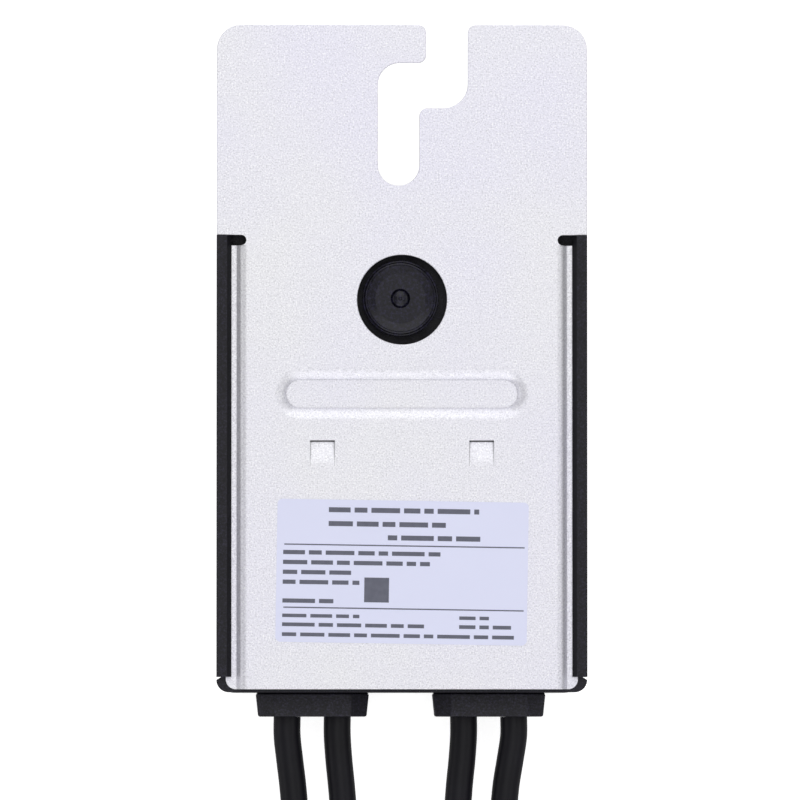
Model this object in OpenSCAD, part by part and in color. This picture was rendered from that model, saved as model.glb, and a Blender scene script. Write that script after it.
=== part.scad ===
// Power optimizer for a solar panel: a sealed converter in a plastic case, on a hook plate of
// sheet aluminium, with two cable glands and four leads.
// Lengths are in millimetres. The part lies on its front face, the plate on top towards +Z,
// and the plate's hook slot is towards +Y. The origin is under the middle of the body.

/* [Body] */
// Length from the plate's top edge to the ends of the cable glands
body_len = 140; // [134:1:170]
// Depth from the front face to the outer face of the label
body_depth = 28; // [26:0.5:36]
// Thickness of the case's side and end walls
case_wall = 1.8; // [1.4:0.1:2.4]
// Thickness of the case's back wall, behind the plate
case_back_t = 2.2; // [1.8:0.1:3]
// How far the case's sides stand back under the edges of its back flange
body_inset = 1.2; // [1:0.1:1.6]
// Thickness of the case's back flange, under the rails
rim_t = 3; // [2.4:0.1:4]
// Radius of the case's upright corners
case_corner_r = 2.5; // [2:0.1:2.6]
// How far the case reaches past the upper ends of its rails
case_overlap = 2.6; // [2.6:0.1:5]
// Thickness of the front cover's plate
cover_t = 3; // [2.2:0.1:4]
// Radius round the front cover's outer edge
cover_edge_r = 1.5; // [0.6:0.1:1.8]
// Height of the front cover's tongue inside the case
tongue_h = 2; // [1:0.1:3]
// Thickness of the front cover's tongue
tongue_t = 1.4; // [1:0.1:2]
// Gap between the cover's tongue and the case's walls
cover_fit = 0.1; // [0.05:0.05:0.3]

/* [Plate] */
// Width of the plate and of the case
plate_w = 75; // [72:0.5:90]
// Thickness of the sheet
plate_t = 1; // [0.8:0.1:1.2]
// Length of the flat hook part, above the rails
hook_len = 42.6; // [40:0.1:48]
// Radius of the plate's upper corners
plate_corner_r = 5; // [2:0.5:10]
// Step from the plate's raised middle down to its side ledges
joggle = 1.6; // [1.5:0.1:2.6]
// Slope of that step
joggle_angle = 55; // [50:1:80]
// Inner radius of the bend at the top of that step
bend_r = 1.05; // [0.3:0.05:1.1]
// Inner radius of the bend at its foot
foot_r = 0.3; // [0.2:0.05:0.5]
// Distance from the plate's side edges in to its raised flat middle
joggle_inset = 6.3; // [6.2:0.1:7]
// Height of the bend relief notches
relief_h = 2.1; // [1.6:0.1:2.6]
// Length of the bend relief notches, from the plate's side edges
relief_len = 6; // [5.6:0.1:7]
// Depth of the case's pockets under those notches
relief_pocket = 1.3; // [0.8:0.1:1.6]
// Radius of the plate's lower corners
ledge_corner_r = 2; // [1:0.1:2.4]
// Diameter of the hole over the fill plug
plug_hole_d = 18.2; // [17:0.1:22]
// Distance from the rails' upper ends down to the middle of that hole
plug_hole_drop = 13.1; // [12:0.1:14]

/* [Hook slot] */
// Width of the slot's channels, for a bolt of 8 mm
slot_w = 8.4; // [6.4:0.1:8.8]
// Place of the entry channel, right of the plate's middle
entry_x = 9.1; // [9:0.1:12]
// Place of the seat channel, right of the plate's middle
seat_x = -0.7; // [-4:0.1:0]
// Length of the tooth beside the entry channel
tooth_len = 7.7; // [6:0.1:9]
// Height of the cross channel
cross_h = 9.2; // [9:0.1:10]
// Distance from the plate's top edge to the bottom of the seat
seat_depth = 32.6; // [30:0.1:34]
// Radius of the cross channel's upper left corner
cross_left_r = 4.5; // [1:0.1:6]
// Radius of the cross channel's lower right corner
cross_right_r = 5; // [1:0.1:6]
// Radius of the entry channel's mouth and of the tooth
slot_edge_r = 1.6; // [0.6:0.1:2]

/* [Stiffening emboss and barbs] */
// Length of the emboss between the middles of its round ends
emboss_run = 41.1; // [30:0.1:44]
// Width of the emboss at its floor
emboss_floor_w = 5.8; // [4:0.1:6.4]
// Width of the sloping flank round the floor
emboss_flank = 2.4; // [1.5:0.1:2.6]
// Radius with which the flank rounds over towards the flat sheet
emboss_round = 3.6; // [3:0.1:6]
// Depth of the emboss
emboss_depth = 1.2; // [0.8:0.1:1.4]
// Depth of the steep foot of the flank, at the floor
emboss_foot = 0.2; // [0.1:0.05:0.4]
// Width of that foot
emboss_foot_w = 0.1; // [0.05:0.05:0.3]
// Distance from the rails' upper ends down to the middle of the emboss
emboss_drop = 32.15; // [30:0.05:34]
// Distance between the middles of the two barbs
barb_gap = 32.2; // [20:0.1:40]
// Width of a barb
barb_w = 5; // [3:0.1:6]
// Length of a barb's window, from the fold to its upper edge
barb_len = 5.2; // [4.8:0.1:5.8]
// Gap between a barb's tip and the upper edge of its window
barb_tip_gap = 0.25; // [0.1:0.05:0.5]
// Gap between a barb's sides and its window
barb_side_gap = 0.05; // [0.04:0.01:0.2]
// Angle at which a barb is bent in towards the case
barb_angle = 10; // [8:1:16]
// Radius of a barb's bend
barb_bend_r = 10; // [4:0.5:12]
// Distance from the rails' upper ends down to the fold of a barb
barb_drop = 46.8; // [46:0.1:50]
// Gap between a barb's tip and its catch on the case
catch_gap = 0.2; // [0.1:0.05:0.4]
// Length of a catch
catch_len = 2; // [1.5:0.1:3]
// Gap between a catch and the plate's inner face
catch_fit = 0.15; // [0.1:0.05:0.3]

/* [Rails] */
// Thickness of the rail's wall beside the plate's ledge
rail_wall = 1.8; // [1.2:0.1:2]
// Reach of the rail's lip, from the case's side inwards
lip_w = 3; // [2.4:0.1:3.2]
// Thickness of the lip
lip_t = 1.2; // [1:0.1:1.8]
// Width of the chamfer on the lip's inner edge
lip_chamfer = 0.9; // [0.3:0.1:1]
// Gap between the plate's ledge and the rail's lip and wall
rail_fit = 0.1; // [0.05:0.05:0.3]
// Thickness of the stop under the plate's lower edge
stop_t = 0.6; // [0.4:0.1:1]
// Distance from the case's lower end up to the lower end of the lips
lip_end = 3.1; // [2.8:0.1:5]
// Width of the nick between a lip's lower end and the corner
nick_w = 1; // [0.2:0.1:1]
// Height of that nick
nick_h = 0.6; // [0.2:0.1:1]

/* [Label and plug] */
// Width of the label
label_w = 50.8; // [30:0.1:56]
// Height of the label
label_h = 28.9; // [15:0.1:30]
// Thickness of the label
label_t = 0.15; // [0.1:0.05:0.3]
// Radius of the label's corners
label_corner_r = 1; // [0.5:0.1:3]
// Turn of the label, clockwise
label_turn = 0.9; // [0:0.1:3]
// Distance from the plate's lower edge up to the middle of the label
label_rise = 23.65; // [20:0.05:26]
// Diameter of the fill plug's head
plug_d = 15.4; // [13:0.1:16]
// Thickness of the fill plug's head
plug_head_t = 2.8; // [2.2:0.1:3]
// Diameter of the recess in the case round the fill plug
plug_seat_d = 18.8; // [17.6:0.1:22]
// Depth of that recess
plug_seat_depth = 1.3; // [0.8:0.1:1.5]
// Diameter of the fill plug's stem
plug_stem_d = 10; // [6:0.1:11]
// Place of the plug right of the middle of the plate's hole
plug_off_x = -0.3; // [-0.4:0.1:0.4]
// Place of the plug above the middle of the plate's hole
plug_off_y = 0.3; // [-0.4:0.1:0.4]

/* [Glands and leads] */
// Distance between the middles of the two glands
gland_gap = 35.9; // [30:0.1:40]
// Width of a gland at the case
gland_w = 23; // [20:0.1:26]
// Narrowing of a gland on each side towards its end
gland_taper = 0.5; // [0:0.1:1]
// Height of a gland
gland_h = 13; // [11:0.1:15]
// Chamfer along a gland's edges
gland_chamfer = 3.7; // [1:0.1:4]
// How far a gland stands out of the case
gland_reach = 4.9; // [3:0.1:8]
// Length of the narrow collar between a gland's block and the case
collar_len = 0.2; // [0.2:0.1:1]
// How far the collar stands back from the block
collar_inset = 0.4; // [0.3:0.1:1.2]
// How far a gland's neck stands back from the block, through the case's wall
neck_inset = 2; // [1.5:0.1:3]
// Thickness of the flange that holds a gland behind the case's wall
gland_flange_t = 1.5; // [1:0.1:2]
// Height of the lead's axis above the front face
lead_z = 13; // [12.6:0.1:13.4]
// Diameter of a lead
lead_d = 5.5; // [5:0.1:6]
// Distance between the two leads of a gland
lead_pitch = 10.2; // [8:0.1:11]
// Gap round a lead in the glands and connectors
lead_fit = 0.1; // [0.05:0.05:0.2]
// Diameter of a lead's copper conductor
conductor_d = 2.6; // [2:0.1:3]
// How far a lead's jacket reaches inside the case
jacket_in = 6; // [4:0.1:7]

/* [Circuit board] */
// Thickness of the board
board_t = 1.6; // [1:0.1:2]
// Room between the board and the case's side and upper walls
board_margin = 3; // [2.5:0.1:4]
// Room between the board and the case's lower wall, for the leads
board_lead_room = 11.3; // [9:0.1:14]
// Distance from the lead's axis to the board
terminal_base = 1.6; // [1.5:0.1:2]
// Size of a wire terminal across its lead
terminal_w = 7; // [5:0.1:7.4]
// Size of a wire terminal along its lead
terminal_len = 8; // [5:0.1:10]
// Diameter of the case's posts
post_d = 6; // [5:0.1:7]
// Distance from the board's side edges to the posts
post_inset = 5; // [4:0.1:6]
// Distance from the board's lower edge to the lower posts
post_rise = 18; // [16:0.5:22]
// Diameter of the board's screws
screw_d = 2.4; // [2:0.1:2.6]
// Length of the board's screws under the head
screw_len = 8; // [6:0.5:9]
// Diameter of the heads of the board's screws
screw_head_d = 5; // [4:0.1:6]
// Gap round the screws in the board
screw_fit = 0.3; // [0.2:0.1:0.5]

/* [Power parts] */
// Middle diameter of the inductor's core
core_d = 19; // [17:0.5:20]
// Radial width of the core
core_w = 5.4; // [4:0.1:6]
// Height of the core
core_h = 6; // [4:0.1:6.4]
// Turns of wire on the core
turns = 16; // [8:1:18]
// Diameter of the inductor's wire
wire_d = 1.2; // [0.8:0.1:1.4]
// Gap between the core and its winding
winding_fit = 0.1; // [0.05:0.05:0.3]
// Diameter of a capacitor
capacitor_d = 10; // [8:0.1:11]
// Height of a capacitor
capacitor_h = 9; // [6:0.1:9.4]
// Distance between the capacitors
capacitor_pitch = 11.5; // [11.2:0.1:12]
// Height of a power transistor
transistor_h = 4.4; // [2:0.1:4.6]
// Distance between the power transistors
transistor_pitch = 14; // [12:0.1:15]
// Edge of the control chip
chip_w = 12; // [8:0.5:14]

/* [Connectors] */
// Radius of the connector's cap nut
nut_r = 7.8; // [7:0.1:8]
// Length of the cap nut
nut_len = 15; // [12:0.1:16]
// Thickness of the cap nut's end wall
nut_wall = 3; // [2:0.1:4]
// Radius of the connector's spigot inside the nut
spigot_r = 6; // [5:0.1:6.2]
// Radius of the connector's flange, on which it lies
flange_r = 8.2; // [8.1:0.1:8.4]
// Length of the connector's barrel, with its flange
barrel_len = 19; // [15:0.5:22]
// Length of the connector's nose
nose_len = 18; // [14:0.5:20]
// Radius of a plug's shroud
shroud_r = 6.4; // [6:0.1:6.8]
// Thickness of a plug's shroud
shroud_t = 1.3; // [1:0.1:1.6]
// Radius of a socket's nose
socket_r = 4.6; // [4.2:0.1:4.8]
// Radius of a contact's crimp barrel
crimp_r = 2.3; // [2.1:0.1:2.5]
// Radius of a plug's pin and of the hole in a socket's contact
pin_r = 1.6; // [1.2:0.1:1.8]
// How far a lead reaches into its connector
lead_grip = 14; // [12:0.5:16]

/* [Hidden] */
$fn = 64;

// Length by which a cut runs past the face it opens
past = 1;
sheet_silver = [0.87, 0.87, 0.90];
case_black = [0.13, 0.13, 0.14];
lead_black = [0.10, 0.10, 0.11];
label_white = [0.85, 0.85, 0.93];
board_green = [0.10, 0.32, 0.18];
metal_tin = [0.75, 0.74, 0.72];
copper = [0.78, 0.45, 0.28];

// Levels along Y
plate_top = body_len / 2;
gland_end = -body_len / 2;
case_bottom = gland_end + gland_reach;
plate_bottom = case_bottom + stop_t;
rail_top = plate_top - hook_len;
relief_bottom = rail_top - relief_h;
case_top = rail_top + case_overlap;
case_len = case_top - case_bottom;
case_mid = (case_top + case_bottom) / 2;
lip_bottom = case_bottom + lip_end;
hole_y = rail_top - plug_hole_drop;
emboss_y = rail_top - emboss_drop;
barb_y = rail_top - barb_drop;
label_y = plate_bottom + label_rise;

// Levels along Z
plate_out = body_depth - label_t;
plate_in = plate_out - plate_t;
ledge_out = plate_out - joggle;
ledge_in = ledge_out - plate_t;
case_back = ledge_in;
cavity_top = case_back - case_back_t;
lip_low = ledge_out + rail_fit;
lip_high = lip_low + lip_t;
board_back = lead_z - terminal_base;
board_front = board_back - board_t;

// Places along X
half_w = plate_w / 2;
rail_in = half_w - rail_wall;
ledge_edge = rail_in - rail_fit;
lip_in = half_w - lip_w;
middle_w = plate_w - 2 * joggle_inset;
bend_x = middle_w / 2;
// Bend at the top of the step, as far as the step's height leaves room for it
top_bend_r = min(bend_r, joggle / (1 - cos(joggle_angle)) - foot_r - plate_t);
bend_sum = top_bend_r + foot_r + plate_t;
joggle_run = (bend_sum * (1 - cos(joggle_angle)) + joggle * cos(joggle_angle)) / sin(joggle_angle);
ledge_x = bend_x + joggle_run;
relief_tip = half_w - relief_len;
pocket_room = 0.5;
barb_root = 0.5;
lead_r = lead_d / 2;

// Board and its posts
body_w = plate_w - 2 * body_inset;
cavity_w = body_w - 2 * case_wall;
cavity_len = case_len - 2 * case_wall;
cavity_corner_r = case_corner_r - 1;
board_w = cavity_w - 2 * board_margin;
board_bottom = case_bottom + case_wall + board_lead_room;
board_top = case_top - case_wall - board_margin;
board_corner_r = 1;
post_x = board_w / 2 - post_inset;
post_ys = [board_bottom + post_rise, board_top - post_inset];
screw_head_h = 1.6;
pilot_room = 1;
terminal_rise = 1.5;
terminal_y = board_bottom + terminal_rise;
terminal_over = 2.2;

// Places of the power parts on the board: inwards from its side edges, up from its lower edge
board_edge = board_w / 2;
core_inset = 19.5;
core_rise = 44;
core_at = [core_inset - board_edge, board_bottom + core_rise];
core_lift = 2 * wire_d;
capacitor_inset = 15.5;
capacitor_rise = 26;
capacitor_at = [board_edge - capacitor_inset, board_bottom + capacitor_rise];
capacitor_count = 4;
capacitor_foot = 1;
capacitor_groove = 0.5;
transistor_rise = 34;
transistor_y = board_bottom + transistor_rise;
transistor_w = 10;
transistor_len = 9;
transistor_tab = 3.5;
tab_inset = 0.5;
tab_t = 1.3;
diode_inset = 12.5;
diode_rise = 56;
diode_at = [diode_inset - board_edge, board_bottom + diode_rise];
diode_w = 10;
diode_len = 14;
diode_h = 4;
chip_x = 6;
chip_rise = 60;
chip_at = [chip_x, board_bottom + chip_rise];
chip_h = 1.6;
chip_pins = 6;
pin_w = 0.5;
pin_len = 1.2;

// Leads: routes from the gland's end, x across, y from the gland's end, z above the surface.
tube_sides = 10;
input_positive_route = [
    [-23.05, 0, 13], [-23.05, -4, 13], [-22.5, -9, 13], [-21.9, -14, 12.9], [-21.4, -20, 12.4],
    [-21.2, -26, 11], [-21.4, -32, 8.3], [-22.1, -38, 5.5], [-23.1, -44, 3.7], [-24.2, -50, 3],
    [-25.2, -56, 3.1], [-26, -62, 3.9], [-26.6, -68, 5.6], [-26.9, -75, 7.5], [-27, -82, 8.2],
    [-27, -88, 8.2], [-27, -98, 8.2]
];
input_negative_route = [
    [-12.85, 0, 13], [-12.85, -4, 13], [-12.5, -9, 13], [-12, -14, 12.9], [-11.5, -20, 12.4],
    [-11, -26, 11], [-10.5, -32, 8.3], [-10, -38, 5.5], [-9.4, -44, 3.7], [-8.9, -50, 3],
    [-8.5, -56, 3.1], [-8.2, -62, 3.9], [-8.1, -68, 5.6], [-8, -75, 7.5], [-8, -82, 8.2],
    [-8, -88, 8.2], [-8, -98, 8.2]
];
output_negative_route = [
    [12.85, 0, 13], [12.85, -4, 13], [12.5, -9, 13], [12, -14, 12.9], [11.6, -20, 12.4],
    [11.4, -26, 11], [11.3, -32, 8.3], [11.2, -38, 5.5], [11.1, -44, 3.7], [11, -50, 3],
    [11, -56, 3.1], [11, -62, 3.9], [11, -68, 5.6], [11, -75, 7.5], [11, -82, 8.2],
    [11, -88, 8.2], [11, -98, 8.2]
];
output_positive_route = [
    [23.05, 0, 13], [23.05, -4, 13], [22.3, -9, 13], [21.5, -14, 12.9], [21, -20, 12.4],
    [20.9, -26, 11], [21.4, -32, 8.3], [22.6, -38, 5.5], [24.2, -44, 3.7], [25.8, -50, 3],
    [27.4, -56, 2.8], [28.9, -62, 2.8], [30.3, -69, 2.8], [31.5, -77, 2.8], [32.4, -87, 2.8],
    [32.9, -98, 2.8], [33, -112, 2.8], [33, -128, 2.8], [33, -144, 2.8], [33, -160, 2.8],
    [33, -176, 2.8], [33, -190, 3], [33, -202, 3.6], [33, -210, 3.8]
];
tail_route = [[-29, -204, 9.2], [-29, -199, 8.8], [-29, -194, 8.2], [-29, -181, 8.2]];

// Coil of the long lead: turns side by side and in layers, held by two ties it lies on
coil_mid_d = 55;
coil_columns = 3;
coil_layers = 2;
coil_drop = 229;
tie_t = 1;
tie_w = 4.5;
tie_room = 0.2;

// Parts of a connector
flange_len = 3;
barrel_r = 7.4;
nut_flutes = 10;
flute_r = 1.6;
spigot_gap = 1;
barrel_chamfer = 1;
nose_chamfer = 0.6;
pin_neck = 1;
pin_point = 1;
pin_back = 3;
socket_back = 1;
conn_fit = 0.1;
nut_cone = 3;
arm_size = [4.4, 1.5, 11];

// Fills the corner between the X and Y axes up to an arc of radius r
module corner_fill(r) {
    difference() {
        square(r);
        translate([r, r]) circle(r);
    }
}

// Rectangle with round corners, about its middle
module round_rect(w, h, r) {
    square([w - 2 * r, h], center = true);
    square([w, h - 2 * r], center = true);
    for (x = [-1, 1], y = [-1, 1]) translate([x * (w / 2 - r), y * (h / 2 - r)]) circle(r);
}

// Rectangle with chamfered corners, about its middle
module chamfer_rect(w, h, c) {
    x = w / 2;
    y = h / 2;
    polygon([[x - c, -y], [x, c - y], [x, y - c], [x - c, y],
             [c - x, y], [-x, y - c], [-x, c - y], [c - x, -y]]);
}

// Extrudes an outline drawn in X and Z along Y, from y0 to y1
module along_y(y0, y1) {
    translate([0, y1, 0]) rotate([90, 0, 0]) linear_extrude(y1 - y0) children();
}

// Extrudes an outline drawn in Y and Z along X, about the middle
module along_x(w) {
    rotate([90, 0, 90]) linear_extrude(w, center = true) children();
}

// Same on the left and on the right
module both_sides() {
    children();
    mirror([1, 0, 0]) children();
}

// Bolt slot: entry channel from the top edge, cross channel to the left, seat channel down
module slot_outline() {
    entry_l = entry_x - slot_w / 2;
    entry_r = entry_x + slot_w / 2;
    seat_l = seat_x - slot_w / 2;
    seat_r = seat_x + slot_w / 2;
    tooth_y = plate_top - tooth_len;
    step_y = tooth_y - cross_h;
    seat_y = plate_top - seat_depth + slot_w / 2;
    difference() {
        union() {
            translate([entry_l, step_y]) square([slot_w, plate_top - step_y + past]);
            translate([seat_l, step_y]) square([entry_r - seat_l, cross_h]);
            translate([seat_l, seat_y]) square([slot_w, tooth_y - seat_y]);
            translate([seat_x, seat_y]) circle(d = slot_w);
            translate([entry_l, tooth_y]) mirror([1, 0]) corner_fill(slot_edge_r);
            translate([seat_r, step_y]) mirror([0, 1]) corner_fill(slot_edge_r);
            translate([entry_l, plate_top]) rotate(180) corner_fill(slot_edge_r);
            translate([entry_r, plate_top]) mirror([0, 1]) corner_fill(slot_edge_r);
        }
        translate([seat_l, tooth_y]) mirror([0, 1]) corner_fill(cross_left_r);
        translate([entry_r, step_y]) mirror([1, 0]) corner_fill(cross_right_r);
    }
}

// Flat upper part of the plate with its slot, down into the raised middle of the lower part
module hook_outline() {
    relief_x = relief_tip + relief_h / 2;
    difference() {
        union() {
            translate([-half_w, relief_bottom]) square([plate_w, plate_top - relief_bottom]);
            translate([-bend_x, relief_bottom - past]) square([middle_w, 2 * past]);
        }
        both_sides() {
            translate([half_w, plate_top]) rotate(180) corner_fill(plate_corner_r);
            translate([relief_x, relief_bottom]) square([half_w, relief_h]);
            translate([relief_x, relief_bottom + relief_h / 2]) circle(d = relief_h);
        }
        slot_outline();
    }
}

// Everything below one face of the sheet, from the middle to the right: flat, step and ledge.
// top and low are the levels of the flat and the ledge, top_r and low_r the radii of the bends
module below_face(top, low, top_r, low_r, base, edge) {
    slant = [sin(joggle_angle), cos(joggle_angle)];
    top_at = [bend_x, top - top_r];
    low_at = [ledge_x, low + low_r];
    difference() {
        union() {
            translate([-past, base]) square([bend_x + past, top - base]);
            translate(top_at) intersection() {
                circle(top_r);
                translate([-top_r, 0]) square([2 * top_r, top_r]);
            }
            polygon([[bend_x - past, base], [bend_x - past, top_at[1]], top_at,
                     top_at + top_r * slant, low_at - low_r * slant, [ledge_x, low],
                     [edge, low], [edge, base]]);
        }
        translate(low_at) circle(low_r);
    }
}

// Section of the lower part: raised middle, sloping step and ledge on each side
module rail_section() {
    difference() {
        both_sides()
            below_face(plate_out, ledge_out, top_bend_r + plate_t, foot_r, ledge_in, ledge_edge);
        both_sides() below_face(plate_in, ledge_in, top_bend_r, foot_r + plate_t, ledge_in - past,
                                ledge_edge + past);
    }
}

// Long cone-sided form with round ends, from radius r0 at the bottom to r1 at the top
module stadium_cone(r0, r1, h) {
    along_x(emboss_run) polygon([[-r0, 0], [r0, 0], [r1, h], [-r1, h]]);
    for (x = [-1, 1]) translate([x * emboss_run / 2, 0, 0]) cylinder(h = h, r1 = r0, r2 = r1);
}

// Half section of the emboss's hollow, right of the middle: flat floor, steep foot, and a flank
// that rounds over towards the sheet
module emboss_section() {
    floor_r = emboss_floor_w / 2;
    reach = floor_r + emboss_flank;
    foot = [floor_r + emboss_foot_w, emboss_foot];
    chord = [reach, emboss_depth] - foot;
    rise = sqrt(emboss_round * emboss_round - chord * chord / 4) / norm(chord);
    difference() {
        square([reach, emboss_depth]);
        translate(foot + chord / 2 + rise * [chord[1], -chord[0]]) circle(emboss_round);
    }
    polygon([[0, 0], [floor_r, 0], foot, [foot[0], emboss_depth], [0, emboss_depth]]);
}

// Hollow of the emboss, with round ends
module emboss_hollow() {
    along_x(emboss_run) both_sides() emboss_section();
    for (x = [-1, 1]) translate([x * emboss_run / 2, 0, 0]) rotate_extrude() emboss_section();
}

// The pressed sheet, before its holes: hook, joggled lower part and the back of the emboss
module plate_sheet() {
    floor_r = emboss_floor_w / 2;
    translate([0, 0, plate_in]) linear_extrude(plate_t) hook_outline();
    along_y(plate_bottom, relief_bottom) rail_section();
    translate([0, emboss_y, plate_in - emboss_depth])
        stadium_cone(floor_r + plate_t / 2, floor_r + plate_t / 2 + emboss_flank, emboss_depth);
}

// Side view of a barb from its fold on: a bend and a straight tip
module barb_section() {
    bend_end = barb_bend_r * sin(barb_angle);
    tip_len = (barb_len - barb_tip_gap - bend_end) / cos(barb_angle);
    translate([0, -barb_bend_r]) {
        intersection() {
            difference() {
                circle(barb_bend_r);
                circle(barb_bend_r - plate_t);
            }
            polygon([[0, 0], [0, barb_bend_r + past],
                     (barb_bend_r + past) * [sin(barb_angle), 1 + cos(barb_angle)],
                     (barb_bend_r + past) * [sin(barb_angle), cos(barb_angle)]]);
        }
        rotate(-barb_angle) translate([0, barb_bend_r - plate_t]) square([tip_len, plate_t]);
    }
    translate([-barb_root, -plate_t]) square([barb_root, plate_t]);
}

module barb() {
    translate([0, barb_y, plate_out]) along_x(barb_w - 2 * barb_side_gap) barb_section();
}

module mounting_plate() {
    color(sheet_silver) {
        difference() {
            plate_sheet();
            translate([0, emboss_y, plate_out - emboss_depth]) emboss_hollow();
            translate([0, hole_y, ledge_in]) cylinder(d = plug_hole_d, h = joggle + plate_t + past);
            for (x = [-1, 1]) translate([x * barb_gap / 2 - barb_w / 2, barb_y, plate_in - past])
                cube([barb_w, barb_len, plate_t + 2 * past]);
            both_sides() translate([ledge_edge, plate_bottom, ledge_in - past])
                linear_extrude(plate_t + 2 * past) mirror([1, 0]) corner_fill(ledge_corner_r);
        }
        for (x = [-1, 1]) translate([x * barb_gap / 2, 0, 0]) barb();
    }
}

module rating_label() {
    color(label_white) translate([0, label_y, plate_out]) rotate(-label_turn)
        linear_extrude(label_t) round_rect(label_w, label_h, label_corner_r);
}

module case_outline(w) {
    translate([0, case_mid]) round_rect(w, case_len, case_corner_r);
}

// Nicks under the lower ends of the lips
module nicks() {
    both_sides() polygon([
        [half_w + past, lip_bottom], [half_w - nick_w, lip_bottom],
        [half_w, lip_bottom - nick_h], [half_w + past, lip_bottom - nick_h]
    ]);
}

module cavity_outline(gap) {
    translate([0, case_mid])
        round_rect(cavity_w - 2 * gap, cavity_len - 2 * gap, cavity_corner_r);
}

// Rail beside the plate's ledge, with a lip that holds the ledge down
module rail() {
    along_y(lip_bottom, rail_top) polygon([
        [rail_in, case_back - past], [half_w, case_back - past], [half_w, lip_high],
        [lip_in + lip_chamfer, lip_high], [lip_in, lip_high - lip_chamfer],
        [lip_in, lip_low], [rail_in, lip_low]
    ]);
}

// Low wall round the plate's lower corners and under its lower edge
module plate_stop() {
    height = lip_low - case_back + past;
    translate([0, 0, case_back - past]) linear_extrude(height) difference() {
        intersection() {
            case_outline(plate_w);
            translate([-half_w, case_bottom]) square([plate_w, lip_end]);
        }
        difference() {
            translate([-rail_in, plate_bottom]) square([2 * rail_in, case_len]);
            both_sides() translate([rail_in, plate_bottom]) mirror([1, 0])
                corner_fill(ledge_corner_r);
        }
        nicks();
    }
}

// Catches above the barbs' tips, so that the plate can't slide back up
module catches() {
    low = barb_y + barb_len - barb_tip_gap + catch_gap;
    high = low + catch_len;
    top = plate_in - catch_fit;
    chamfer = catch_len / 4;
    for (x = [-1, 1]) translate([x * barb_gap / 2, 0, 0]) along_x(barb_w) polygon([
        [low, case_back - past], [high, case_back - past], [high, top - chamfer],
        [high - chamfer, top], [low, top]
    ]);
}

// Places of the board's posts
module at_posts() {
    for (x = [-1, 1], y = post_ys) translate([x * post_x, y, 0]) children();
}

module rear_case() {
    pocket_x = relief_tip - pocket_room;
    color(case_black) {
        difference() {
            union() {
                translate([0, 0, cover_t]) linear_extrude(case_back - cover_t)
                    case_outline(body_w);
                translate([0, 0, case_back - rim_t]) linear_extrude(rim_t) difference() {
                    case_outline(plate_w);
                    nicks();
                }
                both_sides() rail();
                plate_stop();
                catches();
            }
            translate([0, 0, cover_t - past]) linear_extrude(cavity_top - cover_t + past)
                cavity_outline(0);
            for (x = [-1, 1]) translate([x * gland_gap / 2, 0, lead_z])
                along_y(case_bottom - past, case_bottom + case_wall + past) neck_outline();
            translate([plug_off_x, hole_y + plug_off_y, cavity_top - past])
                cylinder(d = plug_stem_d, h = case_back_t + 2 * past);
            translate([plug_off_x, hole_y + plug_off_y, case_back - plug_seat_depth])
                cylinder(d = plug_seat_d, h = plug_seat_depth + past);
            both_sides() translate([pocket_x, relief_bottom - pocket_room, 0])
                translate([0, 0, case_back - relief_pocket])
                cube([rail_in - pocket_x, relief_h + 2 * pocket_room,
                      relief_pocket + lip_low - case_back]);
        }
        at_posts() difference() {
            translate([0, 0, board_back])
                cylinder(d = post_d, h = cavity_top - board_back + past);
            translate([0, 0, board_back - past])
                cylinder(d = screw_d, h = screw_len - board_t + pilot_room + past);
        }
    }
}

// Quarter-round section of the cover at a corner
module cover_corner() {
    rotate_extrude($fn = 32) {
        square([case_corner_r - cover_edge_r, cover_t]);
        translate([0, cover_edge_r]) square([case_corner_r, cover_t - cover_edge_r]);
        intersection() {
            translate([case_corner_r - cover_edge_r, cover_edge_r]) circle(cover_edge_r, $fn = 32);
            square([case_corner_r, cover_t]);
        }
    }
}

module front_cover() {
    corner_x = body_w / 2 - case_corner_r;
    corner_y = case_len / 2 - case_corner_r;
    color(case_black) {
        hull() for (x = [-1, 1], y = [-1, 1])
            translate([x * corner_x, case_mid + y * corner_y, 0]) cover_corner();
        translate([0, 0, cover_t - past]) linear_extrude(tongue_h + past) difference() {
            cavity_outline(cover_fit);
            cavity_outline(cover_fit + tongue_t);
        }
    }
}

// Round plug in the case's recess: a dished head with two rim beads, a button with a dimple in
// the middle, and a stem through the case's wall
module fill_plug() {
    head_r = plug_d / 2;
    stem_r = plug_stem_d / 2;
    top = plug_head_t;
    bead = 0.35;
    second_r = head_r - 2 * bead;
    dish = 0.6;
    button_r = 1.8;
    stem_chamfer = 0.6;
    stem_len = case_back_t - plug_seat_depth + 0.8;
    color(case_black)
        translate([plug_off_x, hole_y + plug_off_y, case_back - plug_seat_depth])
        rotate_extrude() polygon([
            [0, -stem_len], [stem_r - stem_chamfer, -stem_len],
            [stem_r, -stem_len + stem_chamfer], [stem_r, 0], [head_r, 0],
            [head_r, top - bead], [head_r - 0.2 * bead, top - 0.3 * bead],
            [head_r - 0.6 * bead, top], [head_r - bead, top - 0.3 * bead],
            [head_r - 1.3 * bead, top - bead],
            [second_r + 0.4 * bead, top - 0.35 * bead], [second_r, top - 0.2 * bead],
            [second_r - 0.4 * bead, top - 0.35 * bead], [second_r - 0.9 * bead, top - 0.9 * bead],
            [0.66 * head_r, top - dish], [0.4 * head_r, top - 0.95 * dish],
            [button_r + bead / 2, top - 0.9 * dish], [button_r, top - 1.6 * dish],
            [0.92 * button_r, top - 1.35 * dish], [0.78 * button_r, top - 1.05 * dish],
            [0.6 * button_r, top - 0.8 * dish], [0.4 * button_r, top - 0.65 * dish],
            [0.22 * button_r, top - 0.62 * dish], [0.12 * button_r, top - 0.9 * dish],
            [0, top - 0.95 * dish]
        ]);
}

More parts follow.
